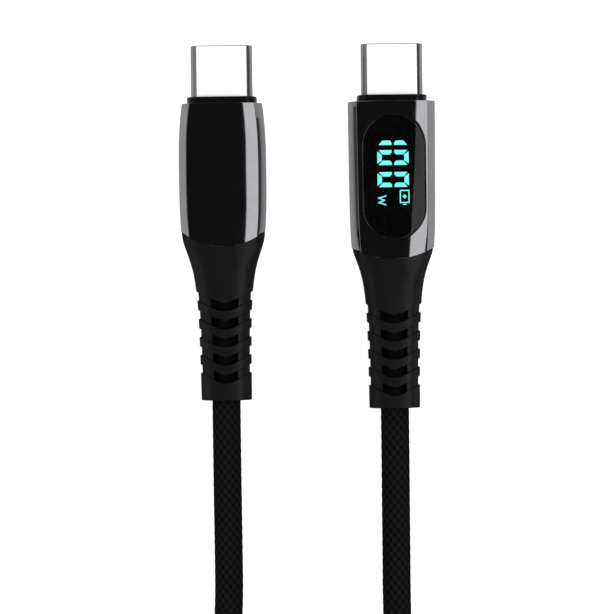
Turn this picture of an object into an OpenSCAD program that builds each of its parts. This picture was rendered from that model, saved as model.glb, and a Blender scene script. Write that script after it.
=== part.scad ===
// USB-C to USB-C charging cable with a power meter built into one of its two plugs.
// Both plugs lie on their backs, side by side, with their tips towards +Y and their fronts up.
// The origin is on the surface, under the middle of the plug that holds the meter.
// A plug is drawn from its tip backwards: s is the distance behind the tip, x is measured from the
// plug's axis to its right, and z from the axis up. All sizes are in millimetres.

/* [USB-C plugs] */
// Width of the steel plug shell
shell_w = 8.25; // [8.2:0.05:8.3]
// Thickness of the steel plug shell
shell_h = 2.4; // [2.35:0.05:2.45]
// Length of plug shell that stands out of the nose
shell_out = 6.85; // [6.6:0.05:7]
// Sheet thickness of the plug shell
shell_wall = 0.2; // [0.15:0.01:0.2]
// Distance between the axes of the two plugs as they lie
plug_spacing = 22.75; // [22:0.25:24]

/* [Casings] */
// Widest width of a casing
casing_w = 11.6; // [11.5:0.05:12]
// Thickness of a casing
casing_h = 6.4; // [6.4:0.1:7]
// Width of the sloping flank beside the crowned front
flank_w = 1.1; // [0.9:0.05:1.2]
// Radius of the crown across the front
crown_r = 14; // [12:0.5:20]
// Length of the meter plug's casing along its middle
meter_casing_len = 21.04; // [20.9:0.01:21.1]
// Length of the plain plug's casing along its middle
plain_casing_len = 19.14; // [19:0.01:19.2]

/* [Meter] */
// Width of the oval window
window_w = 8.3; // [8:0.05:8.4]
// Length of the oval window
window_len = 16.6; // [16.2:0.05:16.6]
// Offset of the window to the right of the axis
window_x = 0.35; // [0:0.05:0.4]
// Height of a digit
digit_h = 4.12; // [4:0.02:4.4]
// Width of a digit
digit_w = 1.98; // [1.9:0.02:2.1]
// Width of one light segment
segment_w = 0.58; // [0.5:0.02:0.66]

/* [Boots] */
// Width of a boot where the cord leaves it
boot_end_w = 6.62; // [6.4:0.02:6.8]
// Thickness of a boot where the cord leaves it
boot_end_h = 5.4; // [5.2:0.1:5.6]
// Distance from one groove to the next
groove_pitch = 2.38; // [2.36:0.01:2.4]

/* [Cord] */
// Diameter of the braided cord
cord_d = 3.8; // [3.6:0.05:3.8]
// Width of the hook-and-loop tie
tie_w = 10; // [8:0.5:10]

/* [Hidden] */
METER_NODES = ["meter_shell", "meter_insulator", "meter_upper_contacts", "meter_lower_contacts",
    "meter_contact_tails", "meter_latch_left", "meter_latch_right", "meter_latch_plate",
    "meter_nose", "meter_casing", "meter_lens", "meter_light_box", "meter_lit_segments",
    "meter_dark_segments", "meter_leds", "meter_board", "meter_chips", "meter_spacer",
    "meter_wires", "meter_inner_mould", "meter_crimp", "meter_cord_end", "meter_boot"];
PLAIN_NODES = ["plain_shell", "plain_insulator", "plain_upper_contacts", "plain_lower_contacts",
    "plain_contact_tails", "plain_latch_left", "plain_latch_right", "plain_latch_plate",
    "plain_nose", "plain_casing", "plain_board", "plain_chips", "plain_wires",
    "plain_inner_mould", "plain_crimp", "plain_cord_end", "plain_boot"];
CORD_NODES = ["cord_meter_run", "cord_plain_run", "cord_hank", "cord_tie"];

// Where the plugs lie
axis_z = casing_h / 2;
meter_len = 48.7;
plain_len = 47.4;
meter_tip_y = meter_len / 2;
plain_tip_y = meter_tip_y;

// Inside the plug shell
shell_back = 9.4;
fit = 0.02;
mouth_recess = 0.35;
slot_w = 6.95;
slot_h = 0.9;
slot_back = 5.9;
insulator_back = 6.25;
contact_w = 0.24;
contact_t = 0.12;
contact_pitch = 0.5;
contact_root_s = 5.75;
contact_root_z = 0.6;
contact_tip_z = 0.24;
groove_gap = 0.05;
tail_gap = 0.06;
upper_pins = [1, 4, 5, 6, 7, 9, 12];
lower_pins = [1, 4, 5, 9, 12];
latch_t = 0.18;
latch_h = 0.3;
latch_x = 3.42;
latch_root_s = 6.75;
latch_tip_s = 1.9;

// Nose and casing
nose_w = 9.38;
nose_h = 3.5;
nose_end = 7.76;
nose_flange = [9.5, 4.7];
front_wall = 0.54;
cavity = [9.6, 4.8];
side_h = 0.9;
back_land = 0.15;
crown_steps = 8;
meter_tail_dip = 1.5;
meter_tail_half = 5.45;
plain_tail_dip = 2.1;
plain_tail_half = 5.6;
plain_widest_s = 16.6;

// Meter
window_s = 17.86;
lens_gap = 0.03;
lens_under = 0.8;
light_box = [7.86, 16.7];
light_box_under = 0.95;
light_box_top = 2.36;
digit_x = -0.02;
digit_s = [11.66, 14.33, 17.26];
segment_gap = 0.15;
icon_line = 0.14;
board_t = 0.8;
paddle_w = 6.4;
paddle_s = 7.6;

// Boots
boot_sides = 32;
boot_power = 2.8;
boot_insert = [9.4, 4.6];
band_depth = 0.28;
band_w = 1.12;
band_slope = 0.5;
band_half = 3.5;
slot_half = cord_d / 2 - 0.03;
slot_narrowing = 0.065;
slot_tip = 0.68;
slot_side = 1.07;
slot_bow = 0.55;
slot_floor = 1.3;
groove_count = 5;
cord_r = cord_d / 2;
crimp_len = 3;
crimp_wall = 0.3;
mould_neck = [6.9, 3.5];
wire_r = 0.33;
wire_x = [-2.2, -1.1, 0, 1.1, 2.2];

// Where the parts of each plug end, behind its tip
meter_end = nose_end + meter_casing_len;
plain_end = nose_end + plain_casing_len;

// Routes of the cord along the surface, from each boot to the hank
tube_sides = 8;
meter_route = [
    [-0.1, -24.35, 3.2], [-0.1, -30, 3.1], [-0.1, -37, 2.5], [-0.1, -44, 2], [-0.1, -51, 1.9],
    [0.15, -58, 1.9], [1.2, -65, 1.9], [2.9, -72, 1.9], [4.1, -79, 1.9], [4.2, -86, 1.9]];
plain_route = [
    [-22.62, -23.05, 3.2], [-22.62, -29, 3.1], [-22.62, -36, 2.5], [-22.6, -43, 2],
    [-22.65, -50, 1.9], [-23.1, -56, 2.1], [-24.6, -61.5, 2.9], [-26.2, -67, 4.2],
    [-26.9, -73, 5.4], [-27, -79.5, 5.7], [-27, -86, 5.7]];

// The hank: a slim loop of cord, two strands wide and two deep, pinched to a waist by the tie
hank_x = -plug_spacing / 2;
hank_y = -86;
lobe_r = 15.6 + cord_r;
top_loop_r = 13.7 + cord_r;
top_loop_x = 1.9;
top_loop_y = 6;
waist_half = 1.95 + 1.5 * cord_d;
bend_r = 12.9;
waist_len = 10;
bend_y = sqrt(pow(lobe_r + bend_r, 2) - pow(waist_half + bend_r, 2));
hank_mid_y = -bend_y - waist_len / 2;
hank_h = 2 * cord_d;
tie_t = 1.2;
lift_len = 28;
under_tie_len = 15;

// ---------- Shared shapes ----------

module at_meter() {
    translate([0, meter_tip_y, axis_z]) children();
}

module at_plain() {
    translate([-plug_spacing, plain_tip_y, axis_z]) children();
}

// Extrudes an outline, drawn across the plug, from s0 to s1 behind the tip
module run(s0, s1) {
    translate([0, -s0, 0]) rotate([90, 0, 0]) linear_extrude(s1 - s0) children();
}

// Extrudes a plan outline, drawn from above, from z0 to z1
module rise(z0, z1) {
    translate([0, 0, z0]) linear_extrude(z1 - z0) children();
}

module obround(w, h) {
    square([w - h, h], center = true);
    for (side = [-1, 1]) translate([side * (w - h) / 2, 0]) circle(h / 2, $fn = 48);
}

module rounded(size, r) {
    square([size[0] - 2 * r, size[1]], center = true);
    square([size[0], size[1] - 2 * r], center = true);
    for (x = [-1, 1], y = [-1, 1])
        translate([x * (size[0] / 2 - r), y * (size[1] / 2 - r)]) circle(r, $fn = 48);
}

// A closed skin through rings of points, which all have the same number of points
module loft(rings) {
    n = len(rings[0]);
    last = (len(rings) - 1) * n;
    sides = [for (i = [0 : len(rings) - 2], j = [0 : n - 1])
        let (a = i * n + j, b = i * n + (j + 1) % n)
        each [[a, b, a + n], [b, b + n, a + n]]];
    polyhedron(
        points = [for (ring = rings) each ring],
        faces = concat([[for (j = [n - 1 : -1 : 0]) j]], sides, [[for (j = [0 : n - 1]) last + j]]));
}

// ---------- USB-C plug ----------

function pin_x(pin) = (6.5 - pin) * contact_pitch;

module shell_tube() {
    run(0, shell_back) difference() {
        obround(shell_w, shell_h);
        obround(shell_w - 2 * shell_wall, shell_h - 2 * shell_wall);
    }
}

module insulator_body() {
    half_slots = [[upper_pins, 1, 0.4], [lower_pins, -1, -0.88]];
    difference() {
        run(mouth_recess, insulator_back)
            obround(shell_w - 2 * shell_wall - 2 * fit, shell_h - 2 * shell_wall - 2 * fit);
        run(0, slot_back) square([slot_w, slot_h], center = true);
        // Grooves that the contacts bend into
        for (half = half_slots)
            for (pin = half[0])
                translate([pin_x(pin) * half[1], 0, half[2]])
                    rise(0, 0.48) translate([-contact_w / 2 - groove_gap, -insulator_back - 1])
                        square([contact_w + 2 * groove_gap, insulator_back]);
        // Side windows for the latch arms
        for (side = [-1, 1])
            run(mouth_recess + 0.6, insulator_back + 1)
                translate([side * 3.75, 0]) square([1.1, latch_h + 0.1], center = true);
    }
}

// Side view of the free beam of a contact: y is -s
module contact_beam_profile() {
    t = contact_t;
    polygon([
        [-contact_root_s, contact_root_z], [-2.95, 0.3], [-2.5, contact_tip_z],
        [-2.15, contact_tip_z], [-1.7, 0.38], [-1.7, 0.38 + t], [-2.15, contact_tip_z + t],
        [-2.5, contact_tip_z + t], [-2.95, 0.3 + t], [-contact_root_s, contact_root_z + t]]);
}

// Side view of the fixed tail, which steps down onto the board
module contact_tail_profile() {
    t = contact_t;
    front = contact_root_s + tail_gap;
    pad = board_t / 2 + fit;
    polygon([
        [-front, contact_root_z], [-6.6, contact_root_z], [-7.3, pad], [-8.9, pad],
        [-8.9, pad + t], [-7.35, pad + t], [-6.65, contact_root_z + t], [-front, contact_root_z + t]]);
}

// Stands a side view up and gives it the width of a contact at one pin
module at_pin(pin) {
    translate([pin_x(pin) - contact_w / 2, 0, 0])
        multmatrix([[0, 0, 1, 0], [1, 0, 0, 0], [0, 1, 0, 0], [0, 0, 0, 1]])
            linear_extrude(contact_w) children();
}

module contact_row(pins) {
    for (pin = pins) at_pin(pin) contact_beam_profile();
}

module contact_tails() {
    for (pin = upper_pins) at_pin(pin) contact_tail_profile();
    rotate([0, 180, 0]) for (pin = lower_pins) at_pin(pin) contact_tail_profile();
}

// The right-hand latch arm: a thin spring with a hook that grips the socket's tongue
module latch_arm() {
    rise(-latch_h / 2, latch_h / 2) polygon([
        [latch_x, -latch_root_s], [latch_x, -3.1], [latch_x - 0.3, -2.7], [latch_x - 0.3, -2.35],
        [latch_x, -latch_tip_s], [latch_x + latch_t, -latch_tip_s],
        [latch_x + latch_t, -latch_root_s]]);
}

module latch_plate() {
    gap = 0.05;
    leg = latch_root_s + gap;
    rise(-0.15, 0.15) difference() {
        translate([-latch_x - latch_t, -7.5]) square([2 * (latch_x + latch_t), 7.5 - leg]);
        translate([-2.9, -7.1]) square([5.8, 1]);
    }
}

module nose_body() {
    difference() {
        union() {
            run(shell_out, nose_end + front_wall + fit) obround(nose_w, nose_h);
            run(nose_end + front_wall + fit, 9.3) rounded(nose_flange, 1);
        }
        run(shell_out - 1, 10) obround(shell_w + 2 * fit, shell_h + 2 * fit);
    }
}

// ---------- Casings ----------

function crown_drop(x) = crown_r - sqrt(crown_r * crown_r - x * x);

// How much narrower than casing_w / 2 each side is, at s behind the tip
function meter_taper(s) =
    let (u = (s - nose_end) / (meter_end - meter_tail_dip - nose_end))
    0.02 + 0.12 * u + 0.2 * pow(u, 8);
function plain_taper(s) =
    s < plain_widest_s
    ? 0.52 * pow((plain_widest_s - s) / 8.8, 2.6)
    : 0.22 * pow((s - plain_widest_s) / 8.2, 2.2);

// A slice of a casing: crowned front, sloping flanks, upright sides and a crowned back with a flat
function casing_ring(s, half) =
    let (b = half - flank_w, top = casing_h / 2, steps = [-crown_steps : crown_steps])
    concat(
        [for (i = steps) let (x = b * i / crown_steps) [x, -s, top - crown_drop(x)]],
        [[half, -s, side_h], [half, -s, -side_h]],
        [for (i = steps)
            let (x = -b * i / crown_steps)
            [x, -s, max(crown_drop(x) - top - back_land, -top)]],
        [[-half, -s, -side_h], [-half, -s, side_h]]);

// Radius of the curved tail of a casing, seen from above
function tail_r(dip, half) = (half * half + dip * dip) / (2 * dip);

module behind_tail(end, dip, half) {
    r = tail_r(dip, half);
    difference() {
        translate([-8, -end - 4]) square([16, 5 + dip]);
        translate([0, r - end]) circle(r, $fn = 96);
    }
}

module casing_hollow(end) {
    run(nose_end - 1, nose_end + front_wall + 0.5) obround(nose_w + 2 * fit, nose_h + 2 * fit);
    run(nose_end + front_wall, end + 1) rounded(cavity, 1.1);
}

module window_outline(gap) {
    w = window_w - 2 * gap;
    translate([window_x, -window_s]) rotate(90) obround(window_len - 2 * gap, w);
}

// ---------- Boots ----------

// How far a boot still flares out, from 1 at its casing to 0 far along it
function boot_flare(s, start, reach, power) = 1 / (1 + pow(max(s - start, 0) / reach, power));

function boot_ring(s, half_w, half_h) = [
    for (j = [0 : boot_sides - 1])
        let (a = 360 * j / boot_sides, c = cos(a), d = sin(a))
        [-half_w * sign(c) * pow(abs(c), 2 / boot_power), -s,
            half_h * sign(d) * pow(abs(d), 2 / boot_power)]];

// The boot's outer skin between two distances behind the tip, drawn in by inset
module boot_skin(stations, inset, start, flare_w, reach, power) {
    loft([for (s = stations)
        let (f = boot_flare(s, start, reach, power))
        boot_ring(s, boot_end_w / 2 + flare_w * f - inset, boot_end_h / 2 + 0.25 * f - inset)]);
}

// One shallow chevron band across the boot, whose ends are at s on its sides
module band_outline(s) {
    tip = s + band_slope * band_half;
    wing = s - band_slope * (6 - band_half);
    polygon([
        [-6, -wing], [0, -tip], [6, -wing],
        [6, -wing - band_w], [0, -tip - band_w], [-6, -wing - band_w]]);
}

// The deep slot in the middle of a band: pointed above and bowed below
module slot_outline(s, half) {
    corner = s + band_slope * (band_half - half);
    polygon(concat(
        [[-half, -corner], [0, -corner - slot_tip], [half, -corner]],
        [for (i = [4 : -1 : -4])
            [half * i / 4, -corner - slot_side - slot_bow * (1 - i * i / 16)]]));
}

// The slots of one face of a boot, each a little narrower than the one before
module slots(groove_s) {
    for (i = [0 : groove_count - 1])
        slot_outline(groove_s + i * groove_pitch, slot_half - i * slot_narrowing);
}

module boot_body(start, end, dip, half, len, flare_w, reach, power, groove_s) {
    side_end = end - dip;
    insert_s = side_end - 1;
    crimp_s = end + 2.2;
    ribs_s = groove_s - 1;
    difference() {
        union() {
            difference() {
                boot_skin(
                    concat([for (s = [start - 0.4 : 0.9 : start + 8.6]) s],
                        [for (s = [start + 11 : 3 : start + 17]) s], [len]),
                    0, start, flare_w, reach, power);
                translate([0, tail_r(dip, half) - end, -5]) cylinder(h = 10, r = tail_r(dip, half), $fn = 96);
            }
            run(insert_s, end + 0.6) rounded(boot_insert, 1);
        }
        difference() {
            rise(-4, 4) for (i = [0 : groove_count - 1]) band_outline(groove_s + i * groove_pitch);
            boot_skin([ribs_s - 1, ribs_s + 4, ribs_s + 9, len + 1], band_depth, start, flare_w, reach, power);
        }
        rise(slot_floor, 4) slots(groove_s);
        rise(-4, -slot_floor) slots(groove_s);
        run(insert_s - 1, crimp_s) rounded([mould_neck[0] + 2 * fit, mould_neck[1] + 2 * fit], 1);
        run(crimp_s - 0.1, crimp_s + crimp_len + 0.1) circle(cord_r + crimp_wall + 2 * fit, $fn = 64);
        run(crimp_s, len + 1) circle(cord_r + fit, $fn = 64);
    }
}

module crimp_ring(end) {
    run(end + 2.2, end + 2.2 + crimp_len) difference() {
        circle(cord_r + crimp_wall, $fn = 64);
        circle(cord_r, $fn = 64);
    }
}

module cord_stub(end, len) {
    run(end + 2.2, len) circle(cord_r - fit, $fn = 64);
}

// Five insulated cores from the back of the board to the cord
module cores(s0, end) {
    for (x = wire_x)
        translate([x, 0, -board_t / 2 - wire_r - fit]) run(s0, end + 2.15) circle(wire_r, $fn = 32);
}

module core_channels(end) {
    for (x = wire_x)
        translate([x, 0, -board_t / 2 - wire_r - fit]) run(0, end + 4) circle(wire_r + fit, $fn = 32);
}

// A board with a narrow front paddle, which the contacts are soldered to
module board_plate(w, back) {
    rise(-board_t / 2, board_t / 2) {
        translate([-paddle_w / 2, -10]) square([paddle_w, 10 - paddle_s]);
        translate([-w / 2, -back]) square([w, back - 9.6]);
    }
}

module block(x, s, w, l, z0, z1) {
    translate([x - w / 2, -s - l / 2, z0]) cube([w, l, z1 - z0]);
}

// ---------- Nodes of the meter plug ----------

module meter_shell() { color("silver") at_meter() shell_tube(); }
module meter_insulator() { color("#1b1b1d") at_meter() insulator_body(); }
module meter_upper_contacts() { color("gold") at_meter() contact_row(upper_pins); }
module meter_lower_contacts() {
    color("gold") at_meter() rotate([0, 180, 0]) contact_row(lower_pins);
}
module meter_contact_tails() { color("gold") at_meter() contact_tails(); }
module meter_latch_left() { color("lightgray") at_meter() mirror([1, 0, 0]) latch_arm(); }
module meter_latch_right() { color("lightgray") at_meter() latch_arm(); }
module meter_latch_plate() { color("lightgray") at_meter() latch_plate(); }
module meter_nose() { color("#151515") at_meter() nose_body(); }

module meter_casing() {
    last = meter_end + 0.2;
    color("#2a2a2d") at_meter() difference() {
        loft([for (i = [0 : 14])
            let (s = nose_end + (last - nose_end) * i / 14)
            casing_ring(s, casing_w / 2 - meter_taper(s))]);
        rise(-5, 5) behind_tail(meter_end, meter_tail_dip, meter_tail_half);
        casing_hollow(meter_end);
        rise(0, 5) window_outline(0);
    }
}

module meter_lens() {
    top = casing_h / 2;
    color("#101418") at_meter() intersection() {
        rise(top - lens_under, top + 1) window_outline(lens_gap);
        translate([0, 0, top - crown_r]) run(5, 30) circle(crown_r, $fn = 200);
    }
}

// Text runs down the plug: u runs along the line of digits and v up the digits, which is +x
module bar(points) {
    polygon([for (p = points) [p[1], -p[0]]]);
}

// One segment of a digit, placed by which one it is: a top, b and c right, d bottom, e and f left
module segment(name) {
    w = digit_w;
    h = digit_h / 2;
    t = segment_w;
    g = segment_gap / 2;
    m = segment_gap * 1.15;
    right = [[w, m], [w, h - t * 0.15 - 1.4 * g], [w - t, h - t - 1.4 * g], [w - t, t * 0.42 + m],
        [w - t * 0.5, m]];
    top = [[0.08 + 1.4 * g, h], [w - 0.08 - 1.4 * g, h], [w - t - 0.4 * g, h - t], [t + 0.4 * g, h - t]];
    middle = [[t * 0.6, 0], [t, t * 0.4], [w - t, t * 0.4], [w - t * 0.6, 0], [w - t, -t * 0.4],
        [t, -t * 0.4]];
    flip_u = [for (p = right) [w - p[0], p[1]]];
    if (name == "a") bar(top);
    if (name == "b") bar(right);
    if (name == "c") bar([for (p = right) [p[0], -p[1]]]);
    if (name == "d") bar([for (p = top) [p[0], -p[1]]]);
    if (name == "e") bar([for (p = flip_u) [p[0], -p[1]]]);
    if (name == "f") bar(flip_u);
    if (name == "g") bar(middle);
}

module digit(i, names) {
    translate([digit_x, -digit_s[i]]) for (name = names) segment(name);
}

// A straight stroke of the small signs, reaching half a line's width past the two points
module stroke(a, b) {
    along = (b - a) / norm(b - a) * icon_line / 2;
    across = [-along[1], along[0]];
    polygon([a - along + across, b + along + across, b + along - across, a - along - across]);
}

// The unit sign W, at the foot of the line
module watt_sign() {
    h = 0.92;
    w = 1.18;
    points = [[0, h], [w * 0.25, 0], [w * 0.5, h * 0.8], [w * 0.75, 0], [w, h]];
    translate([digit_x - 1.93, -20.41]) rotate(-90)
        for (i = [0 : 3]) stroke(points[i], points[i + 1]);
}

// A small battery sign with a flash in it, at the head of the line
module battery_sign() {
    l = 1.74;
    h = 1.26;
    t = icon_line;
    translate([digit_x + 0.84, -19.65]) rotate(-90) {
        difference() {
            square([l, h]);
            translate([t, t]) square([l - 2 * t, h - 2 * t]);
        }
        translate([l + 0.1, h / 2 - 0.22]) square([t, 0.44]);
        polygon([[0.98, 0.98], [0.5, 0.56], [0.82, 0.56], [0.74, 0.28], [1.22, 0.7], [0.92, 0.7]]);
    }
}

module lit_outlines() {
    digit(0, ["b", "c"]);
    digit(1, ["a", "b", "c", "d", "e", "f"]);
    digit(2, ["a", "b", "c", "d", "e", "f"]);
    watt_sign();
    battery_sign();
}

module dark_outlines() {
    digit(0, ["a", "d", "e", "f", "g"]);
    digit(1, ["g"]);
    digit(2, ["g"]);
}

module meter_light_box() {
    color("#0c0c0c") at_meter() difference() {
        rise(light_box_under, light_box_top)
            translate([0, -window_s - 0.02]) rounded(light_box, 1.2);
        rise(light_box_under + 0.3, 5) {
            offset(delta = 0.015) lit_outlines();
            offset(delta = 0.015) dark_outlines();
        }
    }
}

module meter_lit_segments() {
    color("#6ffff0") at_meter() rise(light_box_under + 0.32, light_box_top) lit_outlines();
}

module meter_dark_segments() {
    color("#202826") at_meter() rise(light_box_under + 0.32, light_box_top) dark_outlines();
}

module meter_leds() {
    color("#f4f0d8") at_meter()
        for (i = [0 : 7], x = [-1.9, -0.6, 0.9, 2.2]) block(x, 11.7 + 1.45 * i, 0.6, 0.8, 0.42, 0.9);
}

module meter_board() { color("#123f2a") at_meter() board_plate(9.2, 26); }

module meter_chips() {
    under = -board_t / 2 - fit;
    color("#222222") at_meter() {
        block(0, 14.2, 3, 3, under - 0.75, under);
        block(-3, 18.6, 1.6, 3.2, under - 0.6, under);
        block(1.2, 18.4, 2, 2, under - 0.6, under);
        for (i = [0 : 3]) block(3.2, 12.4 + 1.7 * i, 0.8, 1.2, under - 0.5, under);
        for (i = [0 : 2]) block(-3.2, 11.6 + 1.7 * i, 1.2, 0.8, under - 0.5, under);
    }
}

module meter_spacer() {
    floor_z = -cavity[1] / 2 + 0.03;
    step_z = floor_z + 0.4;
    color("#3a3a3a") at_meter() translate([0, -16.6, 0]) difference() {
        union() {
            rise(floor_z, step_z) rounded([7.86, 13.8], 1);
            rise(step_z, -board_t / 2 - fit) rounded([9, 13.8], 1);
        }
        rise(step_z + 0.2, 1) rounded([7.8, 12.4], 0.6);
    }
}

module meter_wires() { color("#b33a2e") at_meter() cores(24, meter_end); }

module meter_inner_mould() {
    color("#4a4a4a") at_meter() difference() {
        run(meter_end - meter_tail_dip - 0.95, meter_end + 2.18) rounded(mould_neck, 1);
        core_channels(meter_end);
    }
}

module meter_crimp() { color("silver") at_meter() crimp_ring(meter_end); }
module meter_cord_end() { color("#1a1a1a") at_meter() cord_stub(meter_end, meter_len); }
module meter_boot() {
    color("#1e1e1e") at_meter() boot_body(
        meter_end - meter_tail_dip, meter_end, meter_tail_dip, meter_tail_half, meter_len,
        2.05, 3.4, 1.7, 34.9);
}

// ---------- Nodes of the plain plug ----------

module plain_shell() { color("silver") at_plain() shell_tube(); }
module plain_insulator() { color("#1b1b1d") at_plain() insulator_body(); }
module plain_upper_contacts() { color("gold") at_plain() contact_row(upper_pins); }
module plain_lower_contacts() {
    color("gold") at_plain() rotate([0, 180, 0]) contact_row(lower_pins);
}
module plain_contact_tails() { color("gold") at_plain() contact_tails(); }
module plain_latch_left() { color("lightgray") at_plain() mirror([1, 0, 0]) latch_arm(); }
module plain_latch_right() { color("lightgray") at_plain() latch_arm(); }
module plain_latch_plate() { color("lightgray") at_plain() latch_plate(); }
module plain_nose() { color("#151515") at_plain() nose_body(); }

module plain_casing() {
    last = plain_end + 0.2;
    color("#2a2a2d") at_plain() difference() {
        loft([for (i = [0 : 16])
            let (s = nose_end + (last - nose_end) * i / 16)
            casing_ring(s, casing_w / 2 - plain_taper(s))]);
        rise(-5, 5) behind_tail(plain_end, plain_tail_dip, plain_tail_half);
        casing_hollow(plain_end);
    }
}

module plain_board() { color("#123f2a") at_plain() board_plate(8.4, 18); }

module plain_chips() {
    over = board_t / 2 + fit;
    color("#222222") at_plain() {
        block(0, 12.6, 2, 2, over, over + 0.6);
        block(2.6, 12.6, 0.8, 1.2, over, over + 0.5);
        block(-2.6, 12.6, 1.2, 0.8, over, over + 0.5);
        block(0, 15.6, 1.2, 0.8, over, over + 0.5);
    }
}

module plain_wires() { color("#b33a2e") at_plain() cores(16, plain_end); }

module plain_inner_mould() {
    side_end = plain_end - plain_tail_dip;
    color("#4a4a4a") at_plain() difference() {
        union() {
            run(9.5, side_end - 1.05) rounded([9.3, 4.4], 1);
            run(side_end - 1.1, plain_end + 2.18) rounded(mould_neck, 1);
        }
        rise(-board_t / 2 - fit, board_t / 2 + fit) translate([-4.25, -18.05]) square([8.5, 10]);
        rise(0, board_t / 2 + 0.7) translate([-3.4, -16.3]) square([6.8, 5]);
        core_channels(plain_end);
    }
}

module plain_crimp() { color("silver") at_plain() crimp_ring(plain_end); }
module plain_cord_end() { color("#1a1a1a") at_plain() cord_stub(plain_end, plain_len); }
module plain_boot() {
    color("#1e1e1e") at_plain() boot_body(
        plain_end - plain_tail_dip, plain_end, plain_tail_dip, plain_tail_half, plain_len,
        2.25, 4.4, 2.1, 33);
}

// ---------- Cord ----------

function unit(v) = v / norm(v);

function tube_ring(p, along) =
    let (side = unit(cross(along, [0, 0, 1])), up = cross(side, along))
    [for (j = [0 : tube_sides - 1])
        let (a = 360 * j / tube_sides)
        p + (cord_r - fit) * (cos(a) * side + sin(a) * up)];

// A plain tube through the points of a route
module cord_tube(route) {
    last = len(route) - 1;
    loft([for (i = [0 : last])
        tube_ring(route[i], unit(route[min(i + 1, last)] - route[max(i - 1, 0)]))]);
}

module cord_meter_run() { color("#181818") cord_tube(meter_route); }
module cord_plain_run() { color("#181818") cord_tube(plain_route); }

// Plan outline of the hank, drawn from the middle of its upper lobe
module hank_outline() {
    far_y = 2 * hank_mid_y;
    touch = unit([waist_half + bend_r, -bend_y]) * lobe_r;
    circle(lobe_r, $fn = 96);
    translate([0, far_y]) circle(lobe_r, $fn = 96);
    translate([-lobe_r, 0]) square([2 * lobe_r, top_loop_y]);
    for (side = [-1, 1]) translate([side * top_loop_x, top_loop_y]) circle(top_loop_r, $fn = 96);
    difference() {
        translate([-touch[0], far_y - touch[1]]) square([2 * touch[0], 2 * touch[1] - far_y]);
        for (side = [-1, 1]) translate([side * (waist_half + bend_r), 0]) {
            translate([0, -bend_y]) circle(bend_r, $fn = 96);
            translate([0, far_y + bend_y]) circle(bend_r, $fn = 96);
            translate([-bend_r, far_y + bend_y]) square([2 * bend_r, -far_y - 2 * bend_y]);
        }
    }
}

module hank_band(len) {
    translate([-lobe_r - 1, hank_mid_y - len / 2]) square([2 * lobe_r + 2, len]);
}

module cord_hank() {
    color("#181818") translate([hank_x, hank_y, 0]) {
        rise(0, hank_h) difference() {
            hank_outline();
            hank_band(under_tie_len);
        }
        rise(tie_t, tie_t + hank_h) intersection() {
            hank_outline();
            hank_band(lift_len);
        }
    }
}

module cord_tie() {
    inner = [2 * waist_half + 0.1, hank_h + 0.1];
    outer = [inner[0] + 2 * tie_t, inner[1] + 2 * tie_t];
    color("#141414") translate([hank_x, hank_y + hank_mid_y + tie_w / 2, outer[1] / 2]) {
        run(0, tie_w) difference() {
            rounded(outer, 3);
            square(inner, center = true);
        }
        run(0, tie_w) translate([0.5, outer[1] / 2 + tie_t / 2 - 0.05])
            square([9, tie_t + 0.1], center = true);
    }
}

meter_shell();
meter_insulator();
meter_upper_contacts();
meter_lower_contacts();
meter_contact_tails();
meter_latch_left();
meter_latch_right();
meter_latch_plate();
meter_nose();
meter_casing();
meter_lens();
meter_light_box();
meter_lit_segments();
meter_dark_segments();
meter_leds();
meter_board();
meter_chips();
meter_spacer();
meter_wires();
meter_inner_mould();
meter_crimp();
meter_cord_end();
meter_boot();
plain_shell();
plain_insulator();
plain_upper_contacts();
plain_lower_contacts();
plain_contact_tails();
plain_latch_left();
plain_latch_right();
plain_latch_plate();
plain_nose();
plain_casing();
plain_board();
plain_chips();
plain_wires();
plain_inner_mould();
plain_crimp();
plain_cord_end();
plain_boot();
cord_meter_run();
cord_plain_run();
cord_hank();
cord_tie();
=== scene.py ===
"""Looks of a USB-C charging cable with a power meter in one plug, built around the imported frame.

Sizes are in millimetres until a mesh or a path is made. A plug is drawn from its tip backwards:
s is the distance behind the tip, x is to the right of the plug's axis and z is above it.
"""
import math

import bpy
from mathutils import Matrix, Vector


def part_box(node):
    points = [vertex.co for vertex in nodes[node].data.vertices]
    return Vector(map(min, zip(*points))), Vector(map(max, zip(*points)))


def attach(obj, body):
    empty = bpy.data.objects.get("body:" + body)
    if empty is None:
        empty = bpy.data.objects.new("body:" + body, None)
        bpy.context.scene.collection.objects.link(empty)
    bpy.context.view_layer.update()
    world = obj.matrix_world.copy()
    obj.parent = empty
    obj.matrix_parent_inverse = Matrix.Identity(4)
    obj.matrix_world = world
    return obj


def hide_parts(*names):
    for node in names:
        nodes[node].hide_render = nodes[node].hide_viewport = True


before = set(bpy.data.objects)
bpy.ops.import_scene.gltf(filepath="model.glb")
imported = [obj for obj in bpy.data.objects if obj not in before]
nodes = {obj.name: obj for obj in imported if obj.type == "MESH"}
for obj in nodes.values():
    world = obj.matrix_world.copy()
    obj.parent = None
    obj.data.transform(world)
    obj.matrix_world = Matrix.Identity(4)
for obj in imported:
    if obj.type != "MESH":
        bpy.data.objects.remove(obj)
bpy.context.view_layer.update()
MM = 0.001
TINY = 1e-6


# ---------- Camera ----------

VIEW_X = -11.7
VIEW_Y = -10.72
VIEW_WIDTH = 81.9
VIEW_ROLL = -0.7
CAMERA_HEIGHT = 420.0
FOCUS_HEIGHT = 4.5
SENSOR = 36.0

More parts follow.
